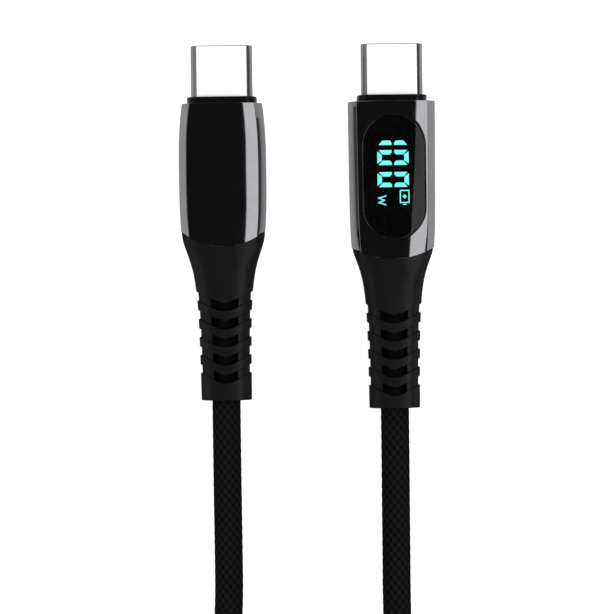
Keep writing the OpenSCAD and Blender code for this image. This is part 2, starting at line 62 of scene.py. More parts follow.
camera_data = bpy.data.cameras.new("camera")
camera_data.sensor_width = SENSOR
camera_data.lens = SENSOR * (CAMERA_HEIGHT - FOCUS_HEIGHT) / VIEW_WIDTH
camera_data.clip_start = 0.01
camera_data.clip_end = 20.0
camera = bpy.data.objects.new("camera", camera_data)
camera.location = (VIEW_X * MM, VIEW_Y * MM, CAMERA_HEIGHT * MM)
camera.rotation_euler = (0.0, 0.0, math.radians(VIEW_ROLL))
bpy.context.scene.collection.objects.link(camera)
bpy.context.scene.camera = camera
bpy.context.scene.view_settings.view_transform = "Standard"


# ---------- Materials ----------

def new_material(name):
    """A node material, its Principled shader and its node tree."""
    material = bpy.data.materials.new(name)
    material.use_nodes = True
    tree = material.node_tree
    shader = next(n for n in tree.nodes if n.type == "BSDF_PRINCIPLED")
    return material, shader, tree


def grain(tree, scale, detail=3.0, stretch=(1.0, 1.0, 1.0)):
    """A noise over the object's own coordinates, in cycles per millimetre."""
    place = tree.nodes.new("ShaderNodeTexCoord")
    mapping = tree.nodes.new("ShaderNodeMapping")
    mapping.inputs["Scale"].default_value = [k / MM for k in stretch]
    noise = tree.nodes.new("ShaderNodeTexNoise")
    noise.inputs["Scale"].default_value = scale
    noise.inputs["Detail"].default_value = detail
    tree.links.new(place.outputs["Object"], mapping.inputs["Vector"])
    tree.links.new(mapping.outputs["Vector"], noise.inputs["Vector"])
    return noise.outputs["Fac"]


def spread(tree, value, low, high, start=0.3, end=0.7):
    """The value carried from start..end to low..high."""
    node = tree.nodes.new("ShaderNodeMapRange")
    node.inputs["From Min"].default_value = start
    node.inputs["From Max"].default_value = end
    node.inputs["To Min"].default_value = low
    node.inputs["To Max"].default_value = high
    tree.links.new(value, node.inputs["Value"])
    return node.outputs["Result"]


def colours(tree, value, dark, light, start=0.3, end=0.7):
    """A colour between dark and light that follows the value."""
    node = tree.nodes.new("ShaderNodeValToRGB")
    node.color_ramp.elements[0].position = start
    node.color_ramp.elements[0].color = (*dark, 1.0)
    node.color_ramp.elements[1].position = end
    node.color_ramp.elements[1].color = (*light, 1.0)
    tree.links.new(value, node.inputs["Fac"])
    return node.outputs["Color"]


def relief(tree, shader, value, depth):
    """A bump of that depth in millimetres on the shader."""
    node = tree.nodes.new("ShaderNodeBump")
    node.inputs["Distance"].default_value = depth * MM
    node.inputs["Strength"].default_value = 1.0
    tree.links.new(value, node.inputs["Height"])
    tree.links.new(node.outputs["Normal"], shader.inputs["Normal"])


def finish(name, dark, light, roughness, metallic=0.0, scale=2.0, depth=0.0, specular=0.5,
           detail=3.0, stretch=(1.0, 1.0, 1.0), rim=1.0):
    """A surface whose colour and roughness vary with a fine grain."""
    material, shader, tree = new_material(name)
    value = grain(tree, scale, detail, stretch)
    tree.links.new(colours(tree, value, dark, light), shader.inputs["Base Color"])
    tree.links.new(spread(tree, value, *roughness), shader.inputs["Roughness"])
    shader.inputs["Metallic"].default_value = metallic
    shader.inputs["Specular IOR Level"].default_value = specular
    shader.inputs["Specular Tint"].default_value = (rim, rim, rim, 1.0)
    if depth:
        relief(tree, shader, value, depth)
    return material


black_chrome = finish("black_chrome", (0.165, 0.165, 0.174), (0.18, 0.18, 0.19), (0.05, 0.075),
                      metallic=1.0, scale=0.6, rim=0.6)
# The shell's steel is split by facing: this near-white copy on its flats is painted light, the dark
# copy below on its round sides and mouth is painted shade
plug_steel = finish("plug_steel", (0.93, 0.915, 0.905), (0.97, 0.955, 0.945), (0.34, 0.42),
                    metallic=0.1, scale=1.2, stretch=(1.0, 0.08, 1.0))
painted_shade_steel = finish("painted_shade_steel", (0.17, 0.17, 0.175), (0.21, 0.21, 0.215), (0.18, 0.24),
                      metallic=1.0, scale=1.2, stretch=(1.0, 0.08, 1.0), rim=0.5)
spring_steel = finish("spring_steel", (0.55, 0.55, 0.56), (0.66, 0.66, 0.66), (0.3, 0.4),
                      metallic=1.0, scale=3.0)
gold_contacts = finish("gold_contacts", (0.80, 0.55, 0.22), (0.90, 0.66, 0.30), (0.22, 0.34),
                       metallic=1.0, scale=4.0)
black_moulding = finish("black_moulding", (0.003, 0.003, 0.0032), (0.005, 0.005, 0.0053),
                        (0.2, 0.26), scale=3.0, specular=0.1)
boot_rubber = finish("boot_rubber", (0.0155, 0.0155, 0.016), (0.0205, 0.0205, 0.021),
                     (0.38, 0.46), metallic=0.75, scale=9.0, depth=0.005, specular=0.0, rim=0.4)
# Near-black painted shade for the boots' deep slots and bore, and for the cord's end seen in them
painted_slot_shade = finish("painted_slot_shade", (0.0015, 0.0015, 0.0015), (0.003, 0.003, 0.003), (0.8, 0.9),
                     scale=6.0, specular=0.05)
circuit_board = finish("circuit_board", (0.008, 0.045, 0.022), (0.014, 0.07, 0.035), (0.3, 0.45),
                       scale=1.5, depth=0.01)
chip_epoxy = finish("chip_epoxy", (0.012, 0.012, 0.013), (0.022, 0.022, 0.024), (0.5, 0.65),
                    scale=8.0, depth=0.004)
led_chips = finish("led_chips", (0.75, 0.72, 0.52), (0.85, 0.82, 0.62), (0.35, 0.5), scale=5.0)
wire_skin = finish("wire_skin", (0.30, 0.03, 0.025), (0.38, 0.045, 0.035), (0.35, 0.45),
                   scale=2.0, depth=0.003)
inner_mould = finish("inner_mould", (0.06, 0.06, 0.06), (0.09, 0.09, 0.09), (0.45, 0.6),
                     scale=4.0, depth=0.005)
light_box = finish("light_box", (0.002, 0.002, 0.0022), (0.0035, 0.0035, 0.0037), (0.8, 0.9),
                   scale=6.0, specular=0.0)
dark_segments = finish("dark_segments", (0.006, 0.008, 0.008), (0.009, 0.012, 0.012), (0.8, 0.9),
                       scale=5.0, specular=0.0)
hook_loop = finish("hook_loop", (0.006, 0.006, 0.0065), (0.022, 0.022, 0.023), (0.8, 0.95),
                   scale=3.2, depth=0.16, specular=0.25, detail=6.0)

lit_segments, lit_shader, lit_tree = new_material("lit_segments")
lit_grain = grain(lit_tree, 1.1)
lit_tree.links.new(colours(lit_tree, lit_grain, (0.15, 0.62, 0.56), (0.2, 0.7, 0.64)),
                   lit_shader.inputs["Base Color"])
lit_tree.links.new(colours(lit_tree, lit_grain, (0.2, 0.98, 0.88), (0.25, 1.0, 0.92)),
                   lit_shader.inputs["Emission Color"])
lit_shader.inputs["Emission Strength"].default_value = 9.4
lit_shader.inputs["Roughness"].default_value = 0.5

smoked_lens, lens_shader, lens_tree = new_material("smoked_lens")
lens_grain = grain(lens_tree, 0.3)
lens_tree.links.new(colours(lens_tree, lens_grain, (0.10, 0.106, 0.11), (0.107, 0.113, 0.117)),
                    lens_shader.inputs["Base Color"])
lens_shader.inputs["Transmission Weight"].default_value = 1.0
lens_shader.inputs["IOR"].default_value = 1.275
lens_shader.inputs["Roughness"].default_value = 0.0

# The braid's valleys are painted darker as shade, by the height that its mesh keeps for each point
cord_braid, braid_shader, braid_tree = new_material("cord_braid")
valley_shade_rise = braid_tree.nodes.new("ShaderNodeAttribute")
valley_shade_rise.attribute_name = "rise"
braid_grain = grain(braid_tree, 7.0, 4.0)
braid_tree.links.new(colours(braid_tree, valley_shade_rise.outputs["Fac"], (0.0006, 0.0006, 0.0006),
                             (0.0078, 0.0078, 0.0079), 0.35, 0.95),
                     braid_shader.inputs["Base Color"])
braid_tree.links.new(spread(braid_tree, braid_grain, 0.46, 0.62), braid_shader.inputs["Roughness"])
braid_shader.inputs["Specular IOR Level"].default_value = 0.0
relief(braid_tree, braid_shader, braid_grain, 0.02)


# ---------- Meshes ----------

def piece(name, points, faces, material, sharp=40.0, shade_material=None, in_shade=None):
    """An object from points in millimetres, smooth but for edges sharper than that angle.

    Faces that the test picks get the second material, a darker copy painted as shade.
    """
    mesh = bpy.data.meshes.new(name)
    mesh.from_pydata([(x * MM, y * MM, z * MM) for x, y, z in points], [], faces)
    mesh.polygons.foreach_set("use_smooth", [True] * len(faces))
    mesh.materials.append(material)
    mesh.update()
    if shade_material:
        mesh.materials.append(shade_material)
        for face in mesh.polygons:
            face.material_index = int(in_shade(face))
    mesh.set_sharp_from_angle(angle=math.radians(sharp))
    obj = bpy.data.objects.new(name, mesh)
    bpy.context.scene.collection.objects.link(obj)
    return obj


def lofted(rings, loop=False):
    """Points and faces of a skin through closed rings: closed on itself, or capped at both ends."""
    n = len(rings[0])
    points = [p for ring in rings for p in ring]
    faces = []
    spans = len(rings) if loop else len(rings) - 1
    for i in range(spans):
        a = i * n
        b = (i + 1) % len(rings) * n
        for j in range(n):
            k = (j + 1) % n
            faces.append((a + j, a + k, b + k, b + j))
    if not loop:
        faces.append(tuple(range(n - 1, -1, -1)))
        faces.append(tuple(range(len(points) - n, len(points))))
    return points, faces


def even(low, high, count):
    """That many steps from low to high, ends included."""
    return [low + (high - low) * k / count for k in range(count + 1)]


def ease(u):
    """0 to 1 with no kink at either end."""
    u = min(max(u, 0.0), 1.0)
    return u * u * (3 - 2 * u)


def obround(w, h, n):
    """A closed outline with round ends, as points (x, z), n points at each end."""
    r = h / 2
    right = [(w / 2 - r + r * math.cos(a), r * math.sin(a))
             for a in even(-math.pi / 2, math.pi / 2, n)]
    return right + [(-x, -z) for x, z in right]


# ---------- Plugs ----------

# The meter's casing lies a little to the left, the plain's boot drifts slowly to the right
METER_SHIFT = -0.12
METER_SHIFT_FROM = 7.8
PLAIN_DRIFT = 0.0085
PLAIN_DRIFT_FROM = 25.0

# Half widths of the casings, and where the plain one is widest
METER_HALF_W = 5.83
PLAIN_HALF_W = 5.855
PLAIN_WIDEST = 16.6

# Radii of the crowns, and from where on they get smaller
METER_CROWN_R = 17.7
METER_CROWN_FROM = 8.4
PLAIN_CROWN_R = 13.8
PLAIN_CROWN_FROM = 14.0
PLAIN_CROWN_TO = 20.0

# A boot behind its flare, and how much taller its flare is
BOOT_HALF_W = 3.31
BOOT_HALF_H = 2.7
FLARE_H = 0.25


class Plug:
    """Where a plug lies, and the shapes of its casing and boot.

    The casing ends in a curve tail_dip deep at tail_half from the axis. The boot flares by
    flare at the casing, over a length reach, the more suddenly the higher power is. Its first
    groove is at grooves.
    """

    def __init__(self, name, tail_dip, tail_half, flare, reach, power, grooves):
        low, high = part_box(name + "_shell")
        self.name = name
        self.x = (low.x + high.x) / 2 / MM
        self.tip = high.y / MM
        self.axis = (low.z + high.z) / 2 / MM
        low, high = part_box(name + "_casing")
        self.front = self.tip - high.y / MM
        self.end = self.tip - low.y / MM
        self.top = (high.z - low.z) / 2 / MM
        self.length = self.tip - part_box(name + "_boot")[0].y / MM
        self.side_end = self.end - tail_dip
        self.tail_r = (tail_half ** 2 + tail_dip ** 2) / (2 * tail_dip)
        self.flare = flare
        self.reach = reach
        self.power = power
        self.grooves = grooves

    def at(self, x, s, z):
        """Where a point of the plug lies in the scene, in millimetres."""
        if self.name == "meter":
            lean = METER_SHIFT if s > METER_SHIFT_FROM else 0.0
        else:
            lean = PLAIN_DRIFT * max(s - PLAIN_DRIFT_FROM, 0.0)
        return (self.x + x + lean, self.tip - s, self.axis + z)

    def tail(self, x):
        """How far behind the tip the casing ends, at x."""
        return self.end - self.tail_r + math.sqrt(self.tail_r ** 2 - x ** 2)

    def half(self, s):
        """Half the width of the casing: the meter's narrows backwards, the plain's both ways."""
        if self.name == "meter":
            u = (s - self.front) / (self.side_end - self.front)
            return METER_HALF_W - 0.12 * u - 0.2 * max(u, 0.0) ** 8
        if s < PLAIN_WIDEST:
            return PLAIN_HALF_W - 0.48 * ((PLAIN_WIDEST - s) / 8.8) ** 2.6
        return PLAIN_HALF_W - 0.22 * ((s - PLAIN_WIDEST) / 8.2) ** 3

    def crown(self, s):
        """Radius of the crown across the casing's front and back."""
        if self.name == "meter":
            u = s - METER_CROWN_FROM
            return METER_CROWN_R - 0.2 * u - 0.0058 * u * u
        before = max(PLAIN_CROWN_FROM - s, 0.0)
        behind = max(s - PLAIN_CROWN_TO, 0.0)
        return PLAIN_CROWN_R - 0.04 * before ** 2 - 0.03 * behind ** 2

    def crown_z(self, x, s):
        """Height of the crown above the axis."""
        r = self.crown(s)
        return self.top - r + math.sqrt(r * r - x * x)

    def boot_half(self, s):
        """Half the boot's width and height, flared towards the casing."""
        f = 1 / (1 + (max(s - self.side_end, 0.0) / self.reach) ** self.power)
        return BOOT_HALF_W + self.flare * f, BOOT_HALF_H + FLARE_H * f


METER = Plug("meter", tail_dip=1.5, tail_half=5.45, flare=2.05, reach=3.4, power=1.7,
             grooves=34.9)
PLAIN = Plug("plain", tail_dip=2.1, tail_half=5.6, flare=2.25, reach=4.4, power=2.1,
             grooves=33.0)

# Widths of the left and right flanks, beside the crown, and how steeply they fall
FLANKS = {"meter": (1.14, 1.0), "plain": (0.95, 1.02)}
FLANK_SLOPE = 1.46
SIDE_H = 0.65
CREASE = 0.06
SIDE_ROUND = 0.3
BACK_FULLNESS = 0.15
CROWN_STEPS = 48
BACK_STEPS = 20


def rounded_corner(p, q, r, reach, n=4):
    """Points of the corner q between p and r, rounded over that reach."""
    a = q + (p - q).normalized() * reach
    b = q + (r - q).normalized() * reach
    return [a * (1 - t) ** 2 + q * 2 * t * (1 - t) + b * t * t for t in even(0.0, 1.0, n)]


def back_z(plug, x, s):
    """Height of the casing's back: crowned like the front, but flat in its middle."""
    return -min(plug.crown_z(x, s) + BACK_FULLNESS, plug.top)


def casing_side(plug, s, side):
    """Points of one side of a slice, from the front crown to the back: side is -1 or 1."""
    half = plug.half(s)
    flank = FLANKS[plug.name][side > 0]
    b = half - flank
    crease = Vector((side * b, plug.crown_z(b, s)))
    back_crease = Vector((side * b, back_z(plug, b, s)))
    front = Vector((side * (b - CREASE), plug.crown_z(b - CREASE, s)))
    back = Vector((side * (b - CREASE), back_z(plug, b - CREASE, s)))
    upper = Vector((side * half, crease.y - flank * FLANK_SLOPE))
    lower = Vector((side * half, back_crease.y + flank * FLANK_SLOPE))
    return (rounded_corner(front, crease, upper, CREASE)
            + rounded_corner(crease, upper, lower, SIDE_ROUND)
            + rounded_corner(upper, lower, back_crease, SIDE_ROUND)
            + rounded_corner(lower, back_crease, back, CREASE))


def casing_section(plug, s):
    """A slice of a casing as points (x, z), from the left of the front crown clockwise."""
    right = casing_side(plug, s, 1)
    left = casing_side(plug, s, -1)
    front = [Vector((x, plug.crown_z(x, s))) for x in even(left[0].x, right[0].x, CROWN_STEPS)]
    back = [Vector((x, back_z(plug, x, s))) for x in even(right[-1].x, left[-1].x, BACK_STEPS)]
    return front + right[1:-1] + back + left[-2:0:-1]


def casing_station(plug, t):
    """A slice of a casing that bends from flat at its front, t = 0, to its curved tail, t = 1."""
    place = plug.front + t * (plug.side_end - plug.front)
    ring = []
    for j, p in enumerate(casing_section(plug, place)):
        # How far back a point lies depends on its x, and its x on that, so it settles in rounds
        for _ in range(3):
            s = plug.front + t * (plug.tail(p.x) - plug.front)
            p = casing_section_point(plug, s, j)
        ring.append((p.x, s, p.y))
    return ring


SECTIONS = {}


def casing_section_point(plug, s, j):
    """Point j of the slice at s, between slices kept every tenth of a millimetre."""
    i = math.floor(s * 10)
    f = s * 10 - i
    for k in (i, i + 1):
        if (plug.name, k) not in SECTIONS:
            SECTIONS[plug.name, k] = casing_section(plug, k / 10)
    return SECTIONS[plug.name, i][j] * (1 - f) + SECTIONS[plug.name, i + 1][j] * f


def drawn_in(ring, plug, dx, dz, ds=0.0):
    """A ring of (x, s, z) brought towards the axis by dx at its sides and dz at its top."""
    wide = max(p[0] for p in ring)
    return [(x * (1 - dx / wide), s + ds, z * (1 - dz / plug.top)) for x, s, z in ring]


def opening_ring(ring, s, w, h):
    """The nose's opening, with one point for each point of the ring around it."""
    r = h / 2
    points = []
    for x, _, z in ring:
        d = math.hypot(x, z)
        c = x / d
        e = z / d
        t = min(r / max(abs(e), TINY), w)
        if abs(c) * t > w / 2 - r:
            k = (w / 2 - r) * abs(c)
            t = k + math.sqrt(k * k - (w / 2 - r) ** 2 + r * r)
        points.append((c * t, s, e * t))
    return points


NOSE_W = 9.38
NOSE_H = 3.5
STATIONS = 70
WALL_X = 0.2
WALL_Z = 0.3
FRONT_WALL = 0.54

# Steps of a lip: how far each is drawn in at the sides and at the top, and how far back it lies
FRONT_LIP = ((0.09, 0.06, 0.0), (0.035, 0.025, 0.008), (0.01, 0.008, 0.03), (0.0, 0.0, 0.07))
FRONT_LIP_END = 0.17
TAIL_LIP_START = -0.12
TAIL_LIP = ((0.0, 0.0, -0.01), (0.01, 0.01, 0.0), (0.08, 0.08, 0.0))

# The window: an oval with straight sides, whose long axis runs along the plug
WINDOW_X = 0.27
WINDOW_S = 17.86
WINDOW_R = 4.19
WINDOW_STRAIGHT = 4.1
WINDOW_FIRST = 4
WINDOW_LAST = 65
WINDOW_EDGE_R = 0.05


def window_base(x, s):
    """The window's edge on the ray from its middle through (x, s), with its outward normal
    and how far along the window's straight middle line that edge belongs."""
    dx = x - WINDOW_X
    ds = s - WINDOW_S
    d = math.hypot(dx, ds)
    dx /= d
    ds /= d
    t = WINDOW_R / max(abs(dx), TINY)
    if abs(ds) * t > WINDOW_STRAIGHT:
        k = WINDOW_STRAIGHT * abs(ds)
        t = k + math.sqrt(k * k - WINDOW_STRAIGHT ** 2 + WINDOW_R ** 2)
    core = min(max(ds * t, -WINDOW_STRAIGHT), WINDOW_STRAIGHT)
    edge = (WINDOW_X + dx * t, WINDOW_S + ds * t)
    normal = (dx * t / WINDOW_R, (ds * t - core) / WINDOW_R)
    return edge, normal, core


def cut_window(plug, points, faces, outer, outer_id, inner_id):
    """The casing with a window: the grid around it is laid again in loops that lead to it."""
    gone = set()
    for i in range(WINDOW_FIRST, WINDOW_LAST):
        for j in range(CROWN_STEPS):
            for point_id in (outer_id, inner_id):
                gone.add(frozenset((point_id(i, j), point_id(i, j + 1),
                                    point_id(i + 1, j + 1), point_id(i + 1, j))))
    faces = [f for f in faces if frozenset(f) not in gone]
    around = ([(WINDOW_FIRST, j) for j in range(CROWN_STEPS)]
              + [(i, CROWN_STEPS) for i in range(WINDOW_FIRST, WINDOW_LAST)]
              + [(WINDOW_LAST, j) for j in range(CROWN_STEPS, 0, -1)]
              + [(i, 0) for i in range(WINDOW_LAST, WINDOW_FIRST, -1)])
    loops = [[outer_id(i, j) for i, j in around]]
    starts = [outer[i][j] for i, j in around]
    edges = [window_base(x, s) for x, s, _ in starts]
    steps = ([("crown", u) for u in even(0.0, 1.0, 9)[1:]]
             + [("edge", a) for a in (22.5, 45.0, 67.5, 90.0)] + [("wall", 0.25)])
    for kind, value in steps:
        ring = []
        for (x, s, _), (edge, normal, _) in zip(starts, edges):
            if kind == "crown":
                px = x + (edge[0] + normal[0] * WINDOW_EDGE_R - x) * value
                ps = s + (edge[1] + normal[1] * WINDOW_EDGE_R - s) * value
                z = plug.crown_z(px, ps)
            elif kind == "edge":
                out = WINDOW_EDGE_R * (1 - math.sin(math.radians(value)))
                px = edge[0] + normal[0] * out
                ps = edge[1] + normal[1] * out
                z = plug.crown_z(px, ps) - WINDOW_EDGE_R * (1 - math.cos(math.radians(value)))
            else:
                px, ps = edge
                z = plug.crown_z(px, ps) - value
            ring.append(plug.at(px, ps, z))
        loops.append(list(range(len(points), len(points) + len(ring))))
        points = points + ring
    loops.append([inner_id(i, j) for i, j in around])
    for near, far in zip(loops, loops[1:]):
        for k in range(len(near)):
            m = (k + 1) % len(near)
            faces.append((near[k], near[m], far[m], far[k]))
    return points, faces


def casing_mesh(plug, windowed):
    """The closed wall of a casing: its outer skin, tail lip, inner skin and front wall."""
    outer = [casing_station(plug, t) for t in even(0.0, 1.0, STATIONS)]
    first, last = outer[0], outer[-1]
    front_lip = [drawn_in(first, plug, *step) for step in FRONT_LIP]
    outer[0] = drawn_in(first, plug, 0.0, 0.0, FRONT_LIP_END)
    outer[-1] = drawn_in(last, plug, 0.0, 0.0, TAIL_LIP_START)
    tail_lip = [drawn_in(last, plug, *step) for step in TAIL_LIP]
    inner = [drawn_in(ring, plug, WALL_X, WALL_Z) for ring in reversed(outer[2:])]
    front_in = drawn_in(first, plug, WALL_X, WALL_Z, FRONT_WALL)
    nose_in = opening_ring(first, plug.front + FRONT_WALL, NOSE_W, NOSE_H)
    nose_out = opening_ring(first, plug.front, NOSE_W, NOSE_H)
    rings = front_lip + outer + tail_lip + inner + [front_in, nose_in, nose_out]
    rings = [[plug.at(*p) for p in ring] for ring in rings]
    points, faces = lofted(rings, loop=True)
    if not windowed:
        return points, faces
    n = len(first)
    outer_at = len(front_lip)
    inner_at = outer_at + len(outer) + len(tail_lip)

    def outer_id(i, j):
        return (outer_at + i) * n + j

    def inner_id(i, j):
        return (inner_at + len(outer) - 1 - i) * n + j

    return cut_window(plug, points, faces, outer, outer_id, inner_id)


meter_casing = piece("meter_casing_skin", *casing_mesh(METER, True), black_chrome, 30.0)
plain_casing = piece("plain_casing_skin", *casing_mesh(PLAIN, False), black_chrome, 30.0)


# ---------- Lens ----------

LENS_SIDES = 160


def lens_mesh(plug):
    """The smoked lens: crowned like the casing, a little below it, with softened edges."""
    gap = 0.04
    bottom = 2.4
    core_reach = 1.6
    angles = even(0.0, 2 * math.pi, LENS_SIDES)[:-1]
    bases = [window_base(WINDOW_X + math.cos(a), WINDOW_S + math.sin(a) * 2) for a in angles]

    def ring(share, drop):
        points = []
        for _, normal, core in bases:
            r = (WINDOW_R - gap) * share
            x = WINDOW_X + normal[0] * r
            s = WINDOW_S + core * min(1.0, share * core_reach) + normal[1] * r
            z = bottom if drop is None else plug.crown_z(x, s) - drop
            points.append(plug.at(x, s, z))
        return points

    top = [ring(k, 0.03) for k in (0.03, 0.12, 0.25, 0.4, 0.55, 0.7, 0.82, 0.91, 0.97)]
    rim = [ring(0.98, 0.032), ring(0.99, 0.045), ring(0.996, 0.065), ring(1.0, 0.1)]
    return lofted(top + rim + [ring(1.0, None)])


meter_lens = piece("meter_lens_window", *lens_mesh(METER), smoked_lens, 50.0)


# ---------- Boots ----------

SLOT_HALF = 1.87
SLOT_NARROWING = 0.065
BAND_W = 1.12
BAND_SLOPE = 0.5
BAND_HALF = 3.5
PITCH = 2.38
BAND_DEPTH = 0.24
CHEVRON = 0.68
SLOT_BOW = 0.55
SLOT_STEP = 0.04
SLOT_FLOOR = 1.3
FLARE_LENGTH = 4.5
FLARE_FLANK = 1.1
SIDE_LINE_X = 3.0
BOOT_POWER = 2.8
CORD_R = 1.9

# The edge of a groove: how far past it each row is, and how far in the groove
GROOVE_EDGE = ((-0.07, 0.0), (-0.03, 0.07), (0.0, 0.5), (0.03, 0.93), (0.08, 1.0))
GROOVES = 5

# The boot's first ring, inside the casing: its share of the width, and how far forward
ROOT_SHARE = 0.86
ROOT_DEPTH = 0.35

# Columns across half a boot: x, and how far the column is in the deep slot
SLOT_COLUMNS = [(0.0, 1.0), (0.25, 1.0), (0.5, 1.0), (0.75, 1.0), (1.0, 1.0), (1.25, 1.0),
                (1.5, 1.0), (1.7, 1.0), (1.79, 1.0), (1.84, 0.95), (1.87, 0.5), (1.9, 0.06),
                (1.96, 0.0)]
SIDE_COLUMNS = 14


def slot_share(i, x):
    """How far x is from the middle of deep slot i, where 1 is its side."""
    return abs(x) / (SLOT_HALF - i * SLOT_NARROWING)


def band_top(plug, i, x):
    """Where groove i begins, at x: a chevron, steeper outside the deep slot."""
    x = abs(x)
    s = plug.grooves + i * PITCH
    if slot_share(i, x) > 1:
        return s + BAND_SLOPE * (BAND_HALF - x)
    side = SLOT_HALF - i * SLOT_NARROWING
    return s + BAND_SLOPE * (BAND_HALF - side) + CHEVRON * (1 - slot_share(i, x))


def band_bottom(plug, i, x):
    """Where groove i ends, at x: bowed in the deep slot."""
    x = abs(x)
    s = plug.grooves + i * PITCH
    if slot_share(i, x) > 1:
        return s + BAND_SLOPE * (BAND_HALF - x) + BAND_W
    side = SLOT_HALF - i * SLOT_NARROWING
    bow = SLOT_BOW * (1 - slot_share(i, x) ** 2)
    return s + BAND_SLOPE * (BAND_HALF - side) + BAND_W - SLOT_STEP + bow


def boot_rows(plug):
    """Rows of the boot from the casing back: where each is at x, how far in a groove, and which."""
    rows = []

    def between(start, end, shares, sunk, first, last):
        for u in shares:
            rows.append((lambda x, u=u: start(x) * (1 - u) + end(x) * u, sunk,
                         first * (1 - u) + last * u))

    def shifted(line, d, sunk, i):
        rows.append((lambda x: line(x) + d, sunk, i))

    def tops(i):
        return lambda x: band_top(plug, i, x)

    def bottoms(i):
        return lambda x: band_bottom(plug, i, x)

    between(plug.tail, tops(0), even(0.0, 0.985, 44), 0.0, 0, 0)
    for i in range(GROOVES):
        for d, sunk in GROOVE_EDGE:
            shifted(tops(i), d, sunk, i)
        between(tops(i), bottoms(i), even(0.2, 0.8, 3), 1.0, i, i)
        for d, sunk in reversed(GROOVE_EDGE):
            shifted(bottoms(i), -d, sunk, i)
        if i < GROOVES - 1:
            between(bottoms(i), tops(i + 1), even(0.14, 0.86, 4), 0.0, i, i + 1)
    between(bottoms(GROOVES - 1), lambda x: plug.length, even(0.06, 0.97, 14), 0.0, GROOVES - 1,
            GROOVES - 1)
    return rows


def boot_point(plug, column, s, sunk, i, sign):
    """A point of the boot's skin: on its right half, upper where sign is 1."""
    half_w, half_h = plug.boot_half(s)
    share, x, slot = column
    narrow = 1 - i * SLOT_NARROWING / SLOT_HALF
    x *= narrow
    if share is not None:
        first = SLOT_COLUMNS[-1][0] * narrow
        x = first + (half_w - first) * math.sin(share * math.pi / 2)
    u = min(x / half_w, 1.0)
    z = max(half_h * (1 - u ** BOOT_POWER) ** (1 / BOOT_POWER), 0.1)
    near = 1 - ease((s - plug.tail(x)) / FLARE_LENGTH)
    if near > 0:
        edge = plug.half(plug.side_end)
        b = edge - FLARE_FLANK
        crown = plug.crown_z(min(x, b), plug.side_end) - 0.12
        if x > b:
            crown += (SIDE_H - 0.1 - crown) * min((x - b) / (edge - b), 1.0)
        z += (min(crown, half_h + 0.1) - z) * near
    gx = u ** (BOOT_POWER - 1) / half_w
    gz = min(z / half_h, 1.0) ** (BOOT_POWER - 1) / half_h
    g = math.hypot(gx, gz)
    depth = BAND_DEPTH * sunk * (1 - slot)
    x -= depth * gx / g
    z -= depth * gz / g
    z += (SLOT_FLOOR - z) * sunk * slot
    return x, s, z * sign


def boot_mesh(plug):
    """The ribbed boot: its skin, and the bore that the cord leaves it by."""
    columns = [(None, x, slot) for x, slot in SLOT_COLUMNS]
    columns += [(k / SIDE_COLUMNS, 0.0, 0.0) for k in range(1, SIDE_COLUMNS + 1)]
    rings = []
    for line, sunk, i in boot_rows(plug):
        quarter = {}
        for sign in (1, -1):
            quarter[sign] = []
            for column in columns:
                s = line(column[1] if column[0] is None else SIDE_LINE_X)
                # Where the row lies depends on x, and x on where it lies, so it settles in rounds
                for _ in range(4):
                    s = line(boot_point(plug, column, s, 0.0, i, 1)[0])
                quarter[sign].append(boot_point(plug, column, s, sunk, i, sign))
        right = quarter[1] + quarter[-1][::-1]
        left = [(-x, s, z) for x, s, z in reversed(right)]
        rings.append(right[:-1] + left[:-1])
    first = rings[0]
    start = [(x * ROOT_SHARE, s - ROOT_DEPTH, z * ROOT_SHARE) for x, s, z in first]
    last = rings[-1]
    tail = [drawn_in(last, plug, 0.03, 0.03, plug.length - 0.05 - last[0][1]),
            drawn_in(last, plug, 0.12, 0.12, plug.length - last[0][1])]
    hole = []
    for s in (plug.length, plug.length - 0.06, plug.length - 3.0):
        r = CORD_R + (0.1 if s == plug.length else 0.03)
        hole.append([(r * x / math.hypot(x, z), s, r * z / math.hypot(x, z)) for x, _, z in last])
    rings = [start] + rings + tail + hole
    return lofted([[plug.at(*p) for p in ring] for ring in rings])


# Faces of a boot nearer to its axis than this are in its slots or its bore, and are painted
# near-black as shade
SLOT_REACH_X = 2.1
SLOT_REACH_Z = 2.0


def in_slot(plug):
    """A test for faces deep in a boot's slots or in its bore, which get the near-black painted
    shade.
    """
    def test(face):
        x, y, z = face.center / MM
        s = plug.tip - y
        near = abs(x - plug.x) < SLOT_REACH_X and plug.grooves < s < plug.length - 0.1
        return near and abs(z - plug.axis) < SLOT_REACH_Z
    return test


meter_boot = piece("meter_boot_skin", *boot_mesh(METER), boot_rubber, 38.0, painted_slot_shade,
                   in_slot(METER))
plain_boot = piece("plain_boot_skin", *boot_mesh(PLAIN), boot_rubber, 38.0, painted_slot_shade,
                   in_slot(PLAIN))


# ---------- Noses and plug shells ----------

NOSE_FRONT = 6.85
NOSE_END = 8.3
SHELL_W = 8.25
SHELL_H = 2.4
SHELL_WALL = 0.2
SHELL_END = 9.4
SHELL_BORE_END = 4.0
SHELL_GAP = 0.06


def nose_mesh(plug):
    """The collar between casing and plug shell, with a softened front edge."""
    rings = []
    for s, inset in ((NOSE_FRONT, 0.16), (NOSE_FRONT + 0.02, 0.08), (NOSE_FRONT + 0.07, 0.02),
                     (NOSE_FRONT + 0.16, 0.0), (NOSE_END, 0.0)):
        rings.append((s, NOSE_W - 2 * inset, NOSE_H - 2 * inset))
    for s in (NOSE_END, NOSE_FRONT):
        rings.append((s, SHELL_W + SHELL_GAP, SHELL_H + SHELL_GAP))
    return lofted([[plug.at(x, s, z) for x, z in obround(w, h, 24)] for s, w, h in rings],
                  loop=True)


